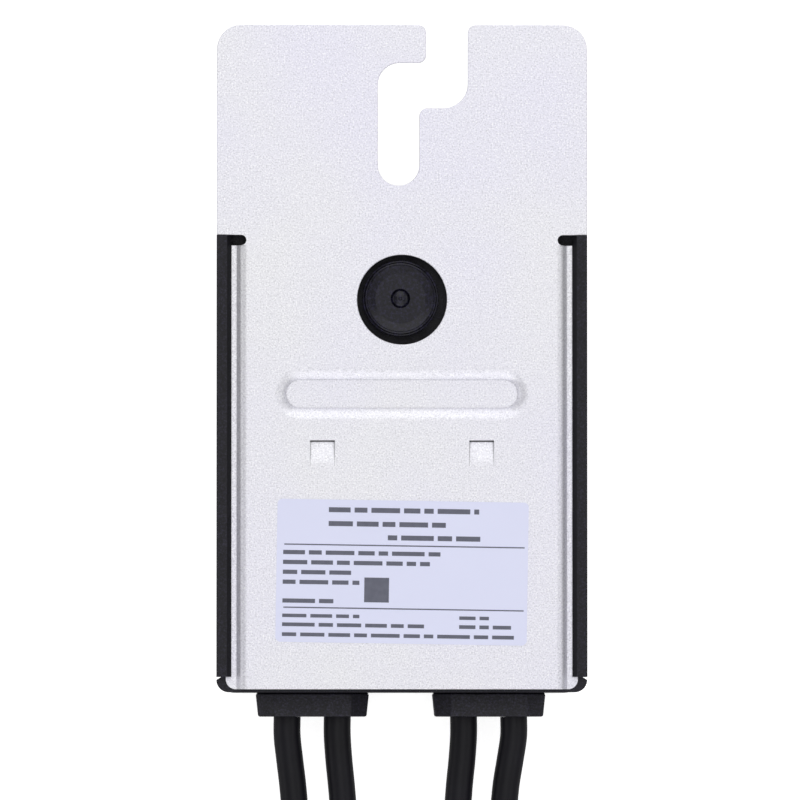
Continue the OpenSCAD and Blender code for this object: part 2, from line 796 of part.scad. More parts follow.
// Section of a gland where it passes the case's wall
module neck_outline() {
    chamfer_rect(gland_w - 2 * neck_inset, gland_h - 2 * neck_inset, gland_chamfer / 2);
}

// Cable gland: tapered block outside, collar and neck through the wall, flange inside
module gland(x) {
    wall_in = case_bottom + case_wall;
    block_top = case_bottom - collar_len;
    half = gland_w / 2;
    color(case_black) translate([x, 0, 0]) difference() {
        translate([0, 0, lead_z]) {
            intersection() {
                along_y(gland_end, block_top) chamfer_rect(gland_w, gland_h, gland_chamfer);
                linear_extrude(2 * gland_h, center = true) polygon([
                    [-half, block_top], [half, block_top],
                    [half - gland_taper, gland_end], [gland_taper - half, gland_end]
                ]);
            }
            along_y(block_top - past, case_bottom) chamfer_rect(
                gland_w - 2 * collar_inset, gland_h - 2 * collar_inset, gland_chamfer);
            along_y(block_top - past, wall_in + gland_flange_t) neck_outline();
            along_y(wall_in, wall_in + gland_flange_t) chamfer_rect(
                gland_w - 2 * collar_inset, gland_h - 2 * collar_inset, gland_chamfer);
        }
        for (side = [-1, 1]) translate([side * lead_pitch / 2, gland_end - past, lead_z])
            rotate([-90, 0, 0]) cylinder(r = lead_r + lead_fit, h = gland_reach + case_len / 2);
    }
}

module input_gland() { gland(-gland_gap / 2); }
module output_gland() { gland(gland_gap / 2); }

// Places of the four leads, at the gland's end and pointing into the case
module at_leads() {
    for (x = [-1, 1], side = [-1, 1])
        translate([x * gland_gap / 2 + side * lead_pitch / 2, gland_end, lead_z])
            rotate([-90, 0, 0]) children();
}

module lead_jackets() {
    color(lead_black) at_leads() cylinder(d = lead_d, h = gland_reach + case_wall + jacket_in);
}

module lead_conductors() {
    jacket = gland_reach + case_wall + jacket_in;
    color(copper) at_leads() translate([0, 0, jacket])
        cylinder(d = conductor_d, h = terminal_y + terminal_len - gland_end - jacket);
}

// Clamps on the board that hold the bare conductors
module wire_terminals() {
    height = terminal_base + terminal_over;
    along = terminal_y - gland_end;
    color(metal_tin) at_leads() difference() {
        translate([-terminal_w / 2, -terminal_over, along])
            cube([terminal_w, height, terminal_len]);
        translate([0, 0, along - past])
            cylinder(d = conductor_d + lead_fit, h = terminal_len + 2 * past);
    }
}

module circuit_board() {
    color(board_green) translate([0, 0, board_front]) difference() {
        translate([0, (board_top + board_bottom) / 2, 0]) linear_extrude(board_t)
            round_rect(board_w, board_top - board_bottom, board_corner_r);
        at_posts() translate([0, 0, -past])
            cylinder(d = screw_d + 2 * screw_fit, h = board_t + 2 * past);
    }
}

module board_screws() {
    color(metal_tin) at_posts() {
        translate([0, 0, board_front - screw_head_h / 4])
            cylinder(d = screw_d, h = screw_len + screw_head_h / 4);
        translate([0, 0, board_front - screw_head_h]) difference() {
            cylinder(d = screw_head_d, h = screw_head_h);
            translate([0, 0, -past]) cylinder(d = screw_d, h = past + screw_head_h / 2, $fn = 6);
        }
    }
}

module inductor_core() {
    color([0.25, 0.24, 0.23]) translate([core_at[0], core_at[1], board_back + core_lift])
        rotate_extrude() translate([(core_d - core_w) / 2, 0]) square([core_w, core_h]);
}

// Square loops of wire round the core's section
module inductor_winding() {
    inner_w = core_w + 2 * winding_fit;
    inner_h = core_h + 2 * winding_fit;
    color(copper) translate([core_at[0], core_at[1], board_back + core_lift + core_h / 2])
        for (i = [0 : turns - 1]) rotate(i * 360 / turns) translate([core_d / 2, 0, 0])
            rotate([90, 0, 0]) linear_extrude(wire_d, center = true) difference() {
                square([inner_w + 2 * wire_d, inner_h + 2 * wire_d], center = true);
                square([inner_w, inner_h], center = true);
            }
}

// Cans with a crimped groove, standing on the board's back
module power_capacitors() {
    can_r = capacitor_d / 2;
    groove = capacitor_groove;
    foot = capacitor_foot;
    color([0.20, 0.22, 0.30])
        for (i = [0 : capacitor_count - 1])
            translate([capacitor_at[0], capacitor_at[1] + i * capacitor_pitch, board_back])
                rotate_extrude() polygon([
                    [0, 0], [can_r, 0], [can_r, foot], [can_r - groove, foot + groove],
                    [can_r, foot + 2 * groove], [can_r, capacitor_h - groove],
                    [can_r - groove, capacitor_h], [0, capacitor_h]
                ]);
}

// Flat packages on the board's front, each with a metal tab
module power_transistors() {
    color([0.16, 0.16, 0.17])
        for (i = [-1.5 : 1 : 1.5])
            translate([i * transistor_pitch - transistor_w / 2, transistor_y, 0]) {
                translate([0, 0, board_front - transistor_h])
                    cube([transistor_w, transistor_len, transistor_h]);
                translate([tab_inset, transistor_len - past, board_front - tab_t])
                    cube([transistor_w - 2 * tab_inset, transistor_tab + past, tab_t]);
            }
}

module bypass_diode() {
    color([0.16, 0.16, 0.17]) translate([diode_at[0], diode_at[1], board_front - diode_h])
        translate([-diode_w / 2, -diode_len / 2, 0]) cube([diode_w, diode_len, diode_h]);
}

module control_chip() {
    pin_step = chip_w / (chip_pins + 1);
    color([0.16, 0.16, 0.17]) translate([chip_at[0], chip_at[1], board_front - chip_h]) {
        translate([-chip_w / 2, -chip_w / 2, 0]) cube([chip_w, chip_w, chip_h]);
        for (turn = [0 : 90 : 270], i = [1 : chip_pins]) rotate(turn)
            translate([chip_w / 2 - pin_len, i * pin_step - (chip_w + pin_w) / 2, chip_h - pin_w])
                cube([2 * pin_len, pin_w, pin_w]);
    }
}

// Tube swept along a route: a ring of points square to the route at each of its points
function unit(v) = v / norm(v);
function route_dir(p, i) = unit(p[min(i + 1, len(p) - 1)] - p[max(i - 1, 0)]);
function ring_point(p, i, k) =
    let (
        dir = route_dir(p, i),
        side = unit(cross(dir, [0, 0, 1])),
        up = cross(side, dir),
        a = 360 * k / tube_sides
    )
    p[i] + lead_r * (cos(a) * side + sin(a) * up);

module tube(p) {
    last = len(p) - 1;
    points = [for (i = [0 : last], k = [0 : tube_sides - 1]) ring_point(p, i, k)];
    side_faces = [for (i = [0 : last - 1], k = [0 : tube_sides - 1])
        let (a = i * tube_sides, n = (k + 1) % tube_sides)
        [a + k, a + n, a + n + tube_sides, a + k + tube_sides]];
    first_end = [for (k = [tube_sides - 1 : -1 : 0]) k];
    last_end = [for (k = [0 : tube_sides - 1]) last * tube_sides + k];
    polyhedron(points, concat(side_faces, [first_end], [last_end]), convexity = 4);
}

module lead(p) {
    color(lead_black) translate([0, gland_end, 0]) tube(p);
}

module input_positive_lead() { lead(input_positive_route); }
module input_negative_lead() { lead(input_negative_route); }
module output_negative_lead() { lead(output_negative_route); }
module output_positive_lead() { lead(output_positive_route); }
module output_positive_tail() { lead(tail_route); }

coil_w = coil_columns * lead_d;
coil_h = coil_layers * lead_d;

module at_coil() {
    translate([0, gland_end - coil_drop, tie_t]) children();
}

module lead_coil() {
    color(lead_black) at_coil() rotate_extrude()
        translate([(coil_mid_d - coil_w) / 2, 0]) square([coil_w, coil_h]);
}

// Two flat ties round the coil's turns, above and below its middle
module coil_ties() {
    color(case_black) at_coil() for (turn = [0, 180]) rotate(turn)
        translate([0, coil_mid_d / 2, coil_h / 2]) rotate([90, 0, 90])
            linear_extrude(tie_w, center = true) difference() {
                square([coil_w + 2 * (tie_room + tie_t), coil_h + 2 * tie_t], center = true);
                square([coil_w + 2 * tie_room, coil_h], center = true);
            }
}

// Puts a connector on the end of a route, along Z here and along the lead there.
// way is -1 where the lead runs towards -Y and 1 where it runs towards +Y.
module on_lead(p, way) {
    end = p[len(p) - 1];
    translate([end[0], gland_end + end[1] - way * lead_grip, end[2]])
        rotate([way * -90, 0, 0]) children();
}

module connector_nut() {
    hole_r = lead_r + lead_fit;
    cup_r = spigot_r + conn_fit;
    color(case_black) difference() {
        rotate_extrude() polygon([
            [hole_r, 0], [nut_r - nut_cone, 0], [nut_r, nut_cone], [nut_r, nut_len],
            [cup_r, nut_len], [cup_r, nut_wall], [hole_r, nut_wall]
        ]);
        for (i = [0 : nut_flutes - 1]) rotate(i * 360 / nut_flutes)
            translate([nut_r + flute_r / 2, 0, nut_cone]) cylinder(r = flute_r, h = nut_len);
    }
}

// Connector's body: spigot in the nut, flange, barrel and nose; mouth_r opens a plug's shroud
module connector_body(nose_r, mouth_r) {
    flange_z = nut_len;
    nose_z = flange_z + barrel_len;
    end_z = nose_z + nose_len;
    color(case_black) rotate_extrude() difference() {
        polygon([
            [0, nut_wall + spigot_gap], [spigot_r, nut_wall + spigot_gap], [spigot_r, flange_z],
            [flange_r, flange_z], [flange_r, flange_z + flange_len],
            [barrel_r, flange_z + flange_len], [barrel_r, nose_z - barrel_chamfer],
            [barrel_r - barrel_chamfer, nose_z], [nose_r, nose_z], [nose_r, end_z - nose_chamfer],
            [nose_r - nose_chamfer, end_z], [0, end_z]
        ]);
        square([lead_r + lead_fit, lead_grip]);
        square([crimp_r, end_z + past]);
        translate([0, nose_z]) square([mouth_r, nose_len + past]);
    }
}

// Plug: open shroud round the pin, with two spring arms beside it
module plug_body() {
    nose_z = nut_len + barrel_len;
    connector_body(shroud_r, shroud_r - shroud_t);
    color(case_black) for (turn = [0, 180]) rotate(turn)
        translate([-arm_size[0] / 2, shroud_r - shroud_t / 2, nose_z - 1]) cube(arm_size);
}

// Socket: slim nose with the hollow contact in it
module socket_body() {
    connector_body(socket_r, crimp_r);
}

// Turned contact: crimp barrel behind, and a solid pin or a hollow socket in front
module contact_pin() {
    pin_z = nut_len + barrel_len;
    tip_z = pin_z + nose_len - pin_back;
    color(metal_tin) rotate_extrude() polygon([
        [0, lead_grip], [crimp_r, lead_grip], [crimp_r, pin_z], [pin_r, pin_z + pin_neck],
        [pin_r, tip_z - pin_point], [pin_r / 2, tip_z], [0, tip_z]
    ]);
}

module contact_socket() {
    end_z = nut_len + barrel_len + nose_len - socket_back;
    color(metal_tin) rotate_extrude() difference() {
        translate([0, lead_grip]) square([crimp_r, end_z - lead_grip]);
        translate([0, nut_len + barrel_len]) square([pin_r, nose_len + past]);
    }
}

module input_positive_nut() { on_lead(input_positive_route, -1) connector_nut(); }
module input_positive_body() { on_lead(input_positive_route, -1) socket_body(); }
module input_positive_contact() { on_lead(input_positive_route, -1) contact_socket(); }
module input_negative_nut() { on_lead(input_negative_route, -1) connector_nut(); }
module input_negative_body() { on_lead(input_negative_route, -1) plug_body(); }
module input_negative_contact() { on_lead(input_negative_route, -1) contact_pin(); }
module output_negative_nut() { on_lead(output_negative_route, -1) connector_nut(); }
module output_negative_body() { on_lead(output_negative_route, -1) socket_body(); }
module output_negative_contact() { on_lead(output_negative_route, -1) contact_socket(); }
module output_positive_nut() { on_lead(tail_route, 1) connector_nut(); }
module output_positive_body() { on_lead(tail_route, 1) plug_body(); }
module output_positive_contact() { on_lead(tail_route, 1) contact_pin(); }

mounting_plate();
rating_label();
rear_case();
front_cover();
fill_plug();
input_gland();
output_gland();
lead_jackets();
lead_conductors();
wire_terminals();
circuit_board();
board_screws();
inductor_core();
inductor_winding();
power_capacitors();
power_transistors();
bypass_diode();
control_chip();
input_positive_lead();
input_negative_lead();
output_negative_lead();
output_positive_lead();
lead_coil();
coil_ties();
output_positive_tail();
input_positive_nut();
input_positive_body();
input_positive_contact();
input_negative_nut();
input_negative_body();
input_negative_contact();
output_negative_nut();
output_negative_body();
output_negative_contact();
output_positive_nut();
output_positive_body();
output_positive_contact();
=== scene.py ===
"""Looks of a solar power optimizer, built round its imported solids. Lengths are in metres,
except where a comment says millimetres."""
import math

import bmesh
import bpy
from mathutils import Matrix, Vector


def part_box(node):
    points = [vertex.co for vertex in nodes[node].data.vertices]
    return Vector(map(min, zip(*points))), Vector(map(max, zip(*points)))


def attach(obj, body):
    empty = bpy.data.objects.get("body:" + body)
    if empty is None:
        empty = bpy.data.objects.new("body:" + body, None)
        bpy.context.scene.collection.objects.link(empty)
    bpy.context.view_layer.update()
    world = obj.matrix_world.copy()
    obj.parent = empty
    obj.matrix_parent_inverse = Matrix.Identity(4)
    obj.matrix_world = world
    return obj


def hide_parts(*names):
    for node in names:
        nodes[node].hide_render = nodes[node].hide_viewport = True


MM = 0.001

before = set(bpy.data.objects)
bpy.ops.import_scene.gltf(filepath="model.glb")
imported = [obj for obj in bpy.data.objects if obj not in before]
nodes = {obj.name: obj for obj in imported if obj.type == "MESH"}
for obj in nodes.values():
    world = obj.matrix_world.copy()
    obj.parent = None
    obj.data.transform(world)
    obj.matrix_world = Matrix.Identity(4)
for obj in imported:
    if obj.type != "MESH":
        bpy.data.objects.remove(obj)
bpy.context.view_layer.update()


# Materials: node trees on object coordinates, which are metres in the part's frame

# Nearly all values of a noise lie between these two
NOISE_LOW, NOISE_HIGH = 0.3, 0.7


class Shade:
    """One node material with short calls for the nodes used here."""

    def __init__(self, name, roughness, metallic=0.0, **sockets):
        self.mat = bpy.data.materials.new(name)
        self.mat.use_nodes = True
        self.tree = self.mat.node_tree
        self.bsdf = self.tree.nodes["Principled BSDF"]
        self.bsdf.inputs["Roughness"].default_value = roughness
        self.bsdf.inputs["Metallic"].default_value = metallic
        for socket, value in sockets.items():
            self.bsdf.inputs[socket.replace("_", " ")].default_value = value
        self.coords = self.tree.nodes.new("ShaderNodeTexCoord").outputs["Object"]

    def link(self, source, target):
        self.tree.links.new(source, target)

    def noise(self, scale, detail=2.0, rough=0.5, stretch=(1, 1, 1)):
        """Noise of so many blobs a metre."""
        place = self.tree.nodes.new("ShaderNodeMapping")
        place.inputs["Scale"].default_value = stretch
        self.link(self.coords, place.inputs["Vector"])
        noise = self.tree.nodes.new("ShaderNodeTexNoise")
        noise.inputs["Scale"].default_value = scale
        noise.inputs["Detail"].default_value = detail
        noise.inputs["Roughness"].default_value = rough
        self.link(place.outputs["Vector"], noise.inputs["Vector"])
        return noise.outputs["Fac"]

    def ramp(self, value, *stops):
        """Colour ramp through (position, colour) stops."""
        ramp = self.tree.nodes.new("ShaderNodeValToRGB")
        elements = ramp.color_ramp.elements
        while len(elements) < len(stops):
            elements.new(0.5)
        for element, (position, colour) in zip(elements, stops):
            element.position = position
            element.color = (*colour, 1)
        self.link(value, ramp.inputs["Fac"])
        return ramp.outputs["Color"]

    def blend(self, noise, low, high):
        """Colour that a noise moves from low to high."""
        return self.ramp(noise, (NOISE_LOW, low), (NOISE_HIGH, high))

    def range(self, noise, low, high):
        """Number that a noise moves from low to high."""
        node = self.tree.nodes.new("ShaderNodeMapRange")
        node.inputs["From Min"].default_value = NOISE_LOW
        node.inputs["From Max"].default_value = NOISE_HIGH
        node.inputs["To Min"].default_value = low
        node.inputs["To Max"].default_value = high
        self.link(noise, node.inputs["Value"])
        return node.outputs["Result"]

    def times(self, a, b):
        """Product of two colours."""
        node = self.tree.nodes.new("ShaderNodeMix")
        node.data_type = "RGBA"
        node.blend_type = "MULTIPLY"
        node.inputs["Factor"].default_value = 1
        self.link(a, node.inputs["A"])
        self.link(b, node.inputs["B"])
        return node.outputs["Result"]

    def creases(self, distance, *stops):
        """Colour ramp over how open the surface is within a distance, for painted shade in creases: 1
        on a flat, less in a crease."""
        node = self.tree.nodes.new("ShaderNodeAmbientOcclusion")
        node.inputs["Distance"].default_value = distance
        node.only_local = True
        return self.ramp(node.outputs["AO"], *stops)

    def bump(self, height, strength, distance):
        """Raises the surface by a height of so many metres."""
        node = self.tree.nodes.new("ShaderNodeBump")
        node.inputs["Strength"].default_value = strength
        node.inputs["Distance"].default_value = distance
        self.link(height, node.inputs["Height"])
        return node.outputs["Normal"]

    def finish(self, colour, roughness, normal=None):
        self.link(colour, self.bsdf.inputs["Base Color"])
        self.link(roughness, self.bsdf.inputs["Roughness"])
        if normal:
            self.link(normal, self.bsdf.inputs["Normal"])
        return self.mat


def grey(value):
    return (value, value, value)


def black(value):
    """A black with the slight blue of the object's plastics."""
    return (value, 0.9 * value, 1.7 * value)


def blasted_aluminium():
    """Sheet with the sparkle of fine blasting, a faint drift of tint, and painted shade darkening its
    creases.
    """
    s = Shade("blasted_aluminium", roughness=0.45, metallic=0.7)
    grit = s.noise(3300, detail=1, rough=0.6)
    tint = s.blend(s.noise(28), (0.93, 0.93, 0.965), (0.905, 0.895, 1.0))
    sparkle = s.ramp(grit, (0.3, grey(0.72)), (0.42, grey(0.88)), (0.58, grey(0.94)),
                     (0.7, grey(1.14)))
    # Painted shade: the base colour is darker in the sheet's tight creases
    painted_crease_shade = s.creases(0.6 * MM, (0.6, grey(0.6)), (0.95, grey(1.0)))
    rough = s.range(s.noise(1500), 0.41, 0.49)
    return s.finish(s.times(s.times(tint, sparkle), painted_crease_shade), rough, s.bump(grit, 0.25, 0.05 * MM))


def moulded(name, dark, light, roughness, grain, depth, specular=0.3):
    """Moulded or pressed dark stuff with a fine matt grain, its depth in millimetres."""
    s = Shade(name, roughness, Specular_IOR_Level=specular)
    fine = s.noise(grain, detail=3, rough=0.6)
    colour = s.blend(s.noise(60, detail=3), dark, light)
    speckle = s.ramp(fine, (0.35, grey(0.3)), (0.5, grey(0.8)), (0.68, grey(3)))
    rough = s.range(s.noise(400), roughness - 0.05, roughness + 0.05)
    return s.finish(s.times(colour, speckle), rough, s.bump(fine, 0.8, depth * MM))


def jacket():
    s = Shade("lead_jacket", roughness=0.42, Specular_IOR_Level=0.25)
    fine = s.noise(1800, stretch=(1, 0.25, 1))
    colour = s.blend(s.noise(90), black(0.003), black(0.005))
    return s.finish(colour, s.range(fine, 0.36, 0.48), s.bump(fine, 0.2, 0.03 * MM))


def label_film():
    s = Shade("label_film", roughness=0.42, Specular_IOR_Level=0.5)
    colour = s.blend(s.noise(40), (0.76, 0.78, 0.98), (0.78, 0.80, 1.0))
    return s.finish(colour, s.range(s.noise(700), 0.38, 0.48), s.bump(s.noise(500), 0.05, 0.03 * MM))


def print_ink():
    s = Shade("label_ink", roughness=0.5)
    colour = s.blend(s.noise(900), (0.11, 0.115, 0.155), (0.13, 0.135, 0.18))
    return s.finish(colour, s.range(s.noise(700), 0.45, 0.55))


def bare_metal(name, low, high, roughness, grain):
    s = Shade(name, roughness, metallic=1.0)
    colour = s.blend(s.noise(grain, detail=3), low, high)
    rough = s.range(s.noise(2 * grain), roughness - 0.06, roughness + 0.06)
    return s.finish(colour, rough, s.bump(s.noise(grain), 0.1, 0.03 * MM))


def solder_mask():
    s = Shade("solder_mask", roughness=0.35)
    colour = s.ramp(s.noise(120, detail=3), (0.35, (0.008, 0.06, 0.022)),
                    (0.65, (0.012, 0.09, 0.034)))
    return s.finish(colour, s.range(s.noise(300), 0.3, 0.42))


plate_metal = blasted_aluminium()
case_plastic = moulded("case_plastic", black(0.006), black(0.008), roughness=0.5, grain=3000,
                       depth=0.15, specular=0.34)
# A darker, smoother copy of the case plastic: painted shade for the rails' inner chamfers
chamfer_painted_shade = moulded("chamfer_painted_shade", black(0.002), black(0.003), roughness=0.35,
                          grain=3000, depth=0.005, specular=0.2)
gland_rubber = moulded("gland_rubber", black(0.008), black(0.011), roughness=0.5, grain=2600,
                       depth=0.15, specular=0.4)
plug_rubber = moulded("plug_rubber", (0.005, 0.0045, 0.012), (0.007, 0.006, 0.015),
                      roughness=0.24, grain=1600, depth=0.01, specular=0.32)
connector_plastic = moulded("connector_plastic", black(0.010), black(0.014), roughness=0.38,
                            grain=1500, depth=0.03)
tie_plastic = moulded("tie_plastic", grey(0.016), grey(0.021), roughness=0.38, grain=1200,
                      depth=0.03)
chip_black = moulded("chip_black", grey(0.018), grey(0.025), roughness=0.5, grain=3000,
                     depth=0.02)
ferrite = moulded("ferrite", grey(0.035), grey(0.055), roughness=0.6, grain=1500, depth=0.04)
capacitor_can = moulded("capacitor_can", (0.02, 0.024, 0.05), (0.026, 0.03, 0.06),
                        roughness=0.35, grain=800, depth=0.02, specular=0.5)
lead_jacket = jacket()
film = label_film()
ink = print_ink()
tin = bare_metal("tin", (0.62, 0.61, 0.58), (0.70, 0.69, 0.66), roughness=0.32, grain=800)
steel = bare_metal("screw_steel", (0.48, 0.48, 0.49), (0.56, 0.56, 0.57), roughness=0.35,
                   grain=1200)
copper = bare_metal("copper", (0.72, 0.34, 0.19), (0.80, 0.42, 0.25), roughness=0.3, grain=900)
board = solder_mask()

FINISHES = {
    "mounting_plate": plate_metal, "rating_label": film, "rear_case": case_plastic,
    "front_cover": case_plastic, "fill_plug": plug_rubber, "input_gland": gland_rubber,
    "output_gland": gland_rubber, "lead_jackets": lead_jacket, "lead_conductors": copper,
    "wire_terminals": tin, "circuit_board": board, "board_screws": steel,
    "inductor_core": ferrite, "inductor_winding": copper, "power_capacitors": capacitor_can,
    "power_transistors": chip_black, "bypass_diode": chip_black, "control_chip": chip_black,
    "coil_ties": tie_plastic,
}
LEADS = ("input_positive", "input_negative", "output_negative", "output_positive")
for lead in LEADS:
    FINISHES[lead + "_nut"] = connector_plastic
    FINISHES[lead + "_body"] = connector_plastic
    FINISHES[lead + "_contact"] = tin


def dress(obj, material):
    obj.data.materials.clear()
    obj.data.materials.append(material)


for name, material in FINISHES.items():
    dress(nodes[name], material)

# The inner chamfers of the case's rails get a smoother copy of the case plastic, darker as painted
# shade. They face up and towards the middle, at a slant.
SLANT = 0.4
case_mesh = nodes["rear_case"].data
case_mesh.materials.append(chamfer_painted_shade)
for face in case_mesh.polygons:
    inwards = face.center.x * face.normal.x < 0
    if inwards and abs(face.normal.x) > SLANT and face.normal.z > SLANT:
        face.material_index = 1


# Softened edges, sizes in millimetres. The sheet's punched edges are rolled over where they show,
# round the hook end and the plug's hole. The glands' edges are rounded.

PLATE_T = 1.0
ROLL_R = 0.15
GLAND_R = 0.35
HOOK_END_Y = 27.39
PLUG_HOLE_Y, PLUG_HOLE_R = 14.3, 9.1
HOLE_NEAR = 0.05
SHARP = math.radians(35)
FLAT = math.radians(0.3)
SAME = 1e-6


def whole_faces(obj):
    """Joins the triangles of a solid's mesh into whole flat faces."""
    weld = obj.modifiers.new("weld", "WELD")
    weld.merge_threshold = SAME
    faces = obj.modifiers.new("whole_faces", "DECIMATE")
    faces.decimate_type = "DISSOLVE"
    faces.angle_limit = FLAT


def round_edges(obj, radius, group=None, segments=2):
    """Rounds all sharp edges, or those between the corners of a group."""
    bevel = obj.modifiers.new("round_edges", "BEVEL")
    bevel.width = radius * MM
    bevel.segments = segments
    bevel.use_clamp_overlap = False
    if group:
        bevel.limit_method = "VGROUP"
        bevel.vertex_group = group
    else:
        bevel.limit_method = "ANGLE"
        bevel.angle_limit = SHARP


def even_normals(obj):
    """Shades round stretches as round and flat faces as flat, with a crease at sharp edges."""
    crease = obj.modifiers.new("crease", "EDGE_SPLIT")
    crease.split_angle = SHARP
    crease.use_edge_sharp = False
    normals = obj.modifiers.new("even_normals", "WEIGHTED_NORMAL")
    normals.weight = 100


def punched_edge(obj, name, inside):
    """Groups the upper corners of the sheet's upright cut faces that are inside an area."""
    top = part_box("mounting_plate")[1].z
    under = {(round(v.co.x, 6), round(v.co.y, 6)) for v in obj.data.vertices
             if abs(v.co.z - top + PLATE_T * MM) < SAME}
    group = obj.vertex_groups.new(name=name)
    group.add([v.index for v in obj.data.vertices if abs(v.co.z - top) < SAME
               and (round(v.co.x, 6), round(v.co.y, 6)) in under
               and inside(v.co.x / MM, v.co.y / MM)], 1, "REPLACE")
    return name


def on_hook_end(x, y):
    return y > HOOK_END_Y


def on_plug_hole(x, y):
    return abs(math.hypot(x, y - PLUG_HOLE_Y) - PLUG_HOLE_R) < HOLE_NEAR


plate = nodes["mounting_plate"]
edges = (punched_edge(plate, "outline", on_hook_end), punched_edge(plate, "plug_hole", on_plug_hole))
whole_faces(plate)
for edge in edges:
    round_edges(plate, ROLL_R, edge, segments=3)
even_normals(plate)
for name in ("input_gland", "output_gland"):
    whole_faces(nodes[name])
    round_edges(nodes[name], GLAND_R)
    even_normals(nodes[name])


# Leads: one curve each, on the routes of their solids. Points are in millimetres, x across,
# y from the glands' outer ends and z above the surface.

LEAD_D = 5.5
GLAND_END = -70.0
COIL_Y = -229.0
# The coil's radius at the start of each turn, and at the end of the last one
COIL_RADII = (33.0, 27.5, 22.0, 27.5, 33.0, 33.0)
COIL_LOW, COIL_HIGH = 3.75, 9.25
COIL_TURNS, LOW_TURNS = 4.5, 2
TAIL_X, TAIL_BEND_R = -29, 25
ROUTES = {
    "input_positive": [
        (-23.05, 0, 13), (-23.05, -4, 13), (-22.5, -9, 13), (-21.9, -14, 12.9),
        (-21.4, -20, 12.4), (-21.2, -26, 11), (-21.4, -32, 8.3), (-22.1, -38, 5.5),
        (-23.1, -44, 3.7), (-24.2, -50, 3), (-25.2, -56, 3.1), (-26, -62, 3.9), (-26.6, -68, 5.6),
        (-26.9, -75, 7.5), (-27, -82, 8.2), (-27, -88, 8.2), (-27, -98, 8.2)],
    "input_negative": [
        (-12.85, 0, 13), (-12.85, -4, 13), (-12.5, -9, 13), (-12, -14, 12.9), (-11.5, -20, 12.4),
        (-11, -26, 11), (-10.5, -32, 8.3), (-10, -38, 5.5), (-9.4, -44, 3.7), (-8.9, -50, 3),
        (-8.5, -56, 3.1), (-8.2, -62, 3.9), (-8.1, -68, 5.6), (-8, -75, 7.5), (-8, -82, 8.2),
        (-8, -88, 8.2), (-8, -98, 8.2)],
    "output_negative": [
        (12.85, 0, 13), (12.85, -4, 13), (12.5, -9, 13), (12, -14, 12.9), (11.6, -20, 12.4),
        (11.4, -26, 11), (11.3, -32, 8.3), (11.2, -38, 5.5), (11.1, -44, 3.7), (11, -50, 3),
        (11, -56, 3.1), (11, -62, 3.9), (11, -68, 5.6), (11, -75, 7.5), (11, -82, 8.2),
        (11, -88, 8.2), (11, -98, 8.2)],
    "output_positive": [
        (23.05, 0, 13), (23.05, -4, 13), (22.3, -9, 13), (21.5, -14, 12.9), (21, -20, 12.4),
        (20.9, -26, 11), (21.4, -32, 8.3), (22.6, -38, 5.5), (24.2, -44, 3.7), (25.8, -50, 3),
        (27.4, -56, 2.8), (28.9, -62, 2.8), (30.3, -69, 2.8), (31.5, -77, 2.8), (32.4, -87, 2.8),
        (32.9, -98, 2.8), (33, -112, 2.8), (33, -128, 2.8), (33, -144, 2.8), (33, -160, 2.8),
        (33, -176, 2.8), (33, -190, 3), (33, -202, 3.6), (33, -210, 3.75)],
}
TAIL = [(TAIL_X, -204, 9.2), (TAIL_X, -199, 8.8), (TAIL_X, -194, 8.2), (TAIL_X, -181, 8.2)]


def ease(f):
    return f * f * (3 - 2 * f)


def coil_points(steps=48):
    """Four and a half turns: two inwards on the lower layer, two outwards on the upper one,
    and half a turn more to the left side, where the lead turns off towards +Y."""
    points = []
    for i in range(int(COIL_TURNS * steps) + 1):
        turn, f = divmod(i / steps, 1)
        start, end = COIL_RADII[int(turn):int(turn) + 2]
        radius = start if f <= 0.5 else start + (end - start) * ease(2 * f - 1)
        if turn < LOW_TURNS:
            z = COIL_LOW
        elif turn == LOW_TURNS and f < 0.5:
            z = COIL_LOW + (COIL_HIGH - COIL_LOW) * ease(2 * f)
        else:
            z = COIL_HIGH
        a = -2 * math.pi * i / steps
        points.append((radius * math.cos(a), COIL_Y + radius * math.sin(a), z))
    return points


def turn_off(x_end, bend_r, steps=10):
    """From the left side of the coil on along its circle, then back to the line x_end."""
    r = COIL_RADII[-1]
    phi = math.acos(1 - (r + x_end) / (r + bend_r))
    points = []
    for i in range(1, steps + 1):
        a = math.pi - phi * i / steps
        points.append((r * math.cos(a), COIL_Y + r * math.sin(a), COIL_HIGH))
    cx = (r + bend_r) * math.cos(math.pi - phi)
    cy = COIL_Y + (r + bend_r) * math.sin(math.pi - phi)
    for i in range(1, steps + 1):
        a = -phi + phi * i / steps
        points.append((cx + bend_r * math.cos(a), cy + bend_r * math.sin(a), COIL_HIGH))
    return points


def smooth(points, parts=8):
    """Points on a Catmull-Rom curve through the given ones."""
    p = [Vector(q) for q in points]
    out = [p[0]]
    for i in range(len(p) - 1):
        a, b, c, d = p[max(i - 1, 0)], p[i], p[i + 1], p[min(i + 2, len(p) - 1)]
        for k in range(1, parts + 1):
            t = k / parts
            out.append(0.5 * (2 * b + (c - a) * t + (2 * a - 5 * b + 4 * c - d) * t * t
                              + (3 * b - a - 3 * c + d) * t * t * t))
    return out


def placed(point):
    """A point of a route in metres, in the part's frame."""
    return (point[0] * MM, (point[1] + GLAND_END) * MM, point[2] * MM)


def add(obj):
    bpy.context.scene.collection.objects.link(obj)
    return obj


def lead_curve(name, points):
    """A round lead as a curve with its centreline on the points."""
    data = bpy.data.curves.new(name, "CURVE")
    data.dimensions = "3D"
    data.bevel_depth = LEAD_D / 2 * MM
    data.bevel_resolution = 6
    data.use_fill_caps = True
    spline = data.splines.new("POLY")
    spline.points.add(len(points) - 1)
    for target, point in zip(spline.points, points):
        target.co = (*placed(point), 1)
    obj = add(bpy.data.objects.new(name, data))
    dress(obj, lead_jacket)
    return obj


